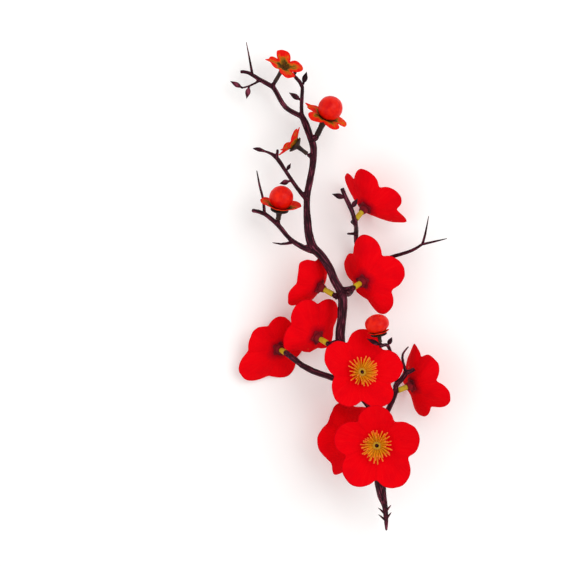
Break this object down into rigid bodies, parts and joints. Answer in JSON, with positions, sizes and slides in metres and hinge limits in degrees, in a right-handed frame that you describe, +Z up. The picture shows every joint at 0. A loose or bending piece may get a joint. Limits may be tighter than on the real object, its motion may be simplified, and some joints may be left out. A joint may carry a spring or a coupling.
{
  "type": "artificial plum blossom branch",
  "caption": "Artificial plum blossom pick lying down: dark moulded branch with a barbed spike, red fabric blossoms with yellow stamens, and small bud flowers with glossy balls.",
  "frame": {"origin": "middle of the whole outline seen from above, on the surface that the branch lies on", "axes": "+Y along the branch from the spike to the thin tip, +Z up from the surface, +X to the right as seen from above with the tip away from the viewer"},
  "size_m": [0.1264, 0.2791, 0.0548],
  "materials": {
    "petal_fabric": "matt saturated red woven fabric with darker rims",
    "bud_petal_fabric": "matt red fabric with orange and olive tints",
    "sepal_brown": "matt dark red-brown",
    "stamen_yellow": "satin amber yellow, paler stems",
    "bud_cup": "matt blackish brown",
    "bud_ball": "gloss red, slightly wrinkled",
    "bark": "satin dark burgundy brown with paler lengthwise streaks"
  },
  "bodies": {
    "root": {"blossom_1_petals": "petal_fabric", "blossom_1_calyx": "sepal_brown", "blossom_1_stamens": "stamen_yellow", "blossom_2_petals": "petal_fabric", "blossom_2_calyx": "sepal_brown", "blossom_2_stamens": "stamen_yellow", "blossom_3_petals": "petal_fabric", "blossom_3_calyx": "sepal_brown", "blossom_3_stamens": "stamen_yellow", "blossom_4_petals": "petal_fabric", "blossom_4_calyx": "sepal_brown", "blossom_4_stamens": "stamen_yellow", "blossom_5_petals": "petal_fabric", "blossom_5_calyx": "sepal_brown", "blossom_5_stamens": "stamen_yellow", "blossom_6_petals": "petal_fabric", "blossom_6_calyx": "sepal_brown", "blossom_6_stamens": "stamen_yellow", "blossom_7_petals": "petal_fabric", "blossom_7_calyx": "sepal_brown", "blossom_7_stamens": "stamen_yellow", "blossom_8_petals": "petal_fabric", "blossom_8_calyx": "sepal_brown", "blossom_8_stamens": "stamen_yellow", "blossom_9_petals": "petal_fabric", "blossom_9_calyx": "sepal_brown", "blossom_9_stamens": "stamen_yellow", "bud_a_cup": "bud_cup", "bud_a_petals": "bud_petal_fabric", "bud_b_cup": "bud_cup", "bud_b_petals": "bud_petal_fabric", "bud_b_ball": "bud_ball", "bud_c_cup": "bud_cup", "bud_c_petals": "bud_petal_fabric", "bud_d_cup": "bud_cup", "bud_d_petals": "bud_petal_fabric", "bud_d_ball": "bud_ball", "bud_e_cup": "bud_cup", "bud_e_petals": "bud_petal_fabric", "bud_e_ball": "bud_ball", "branch": "bark"}
  },
  "joints": []
}
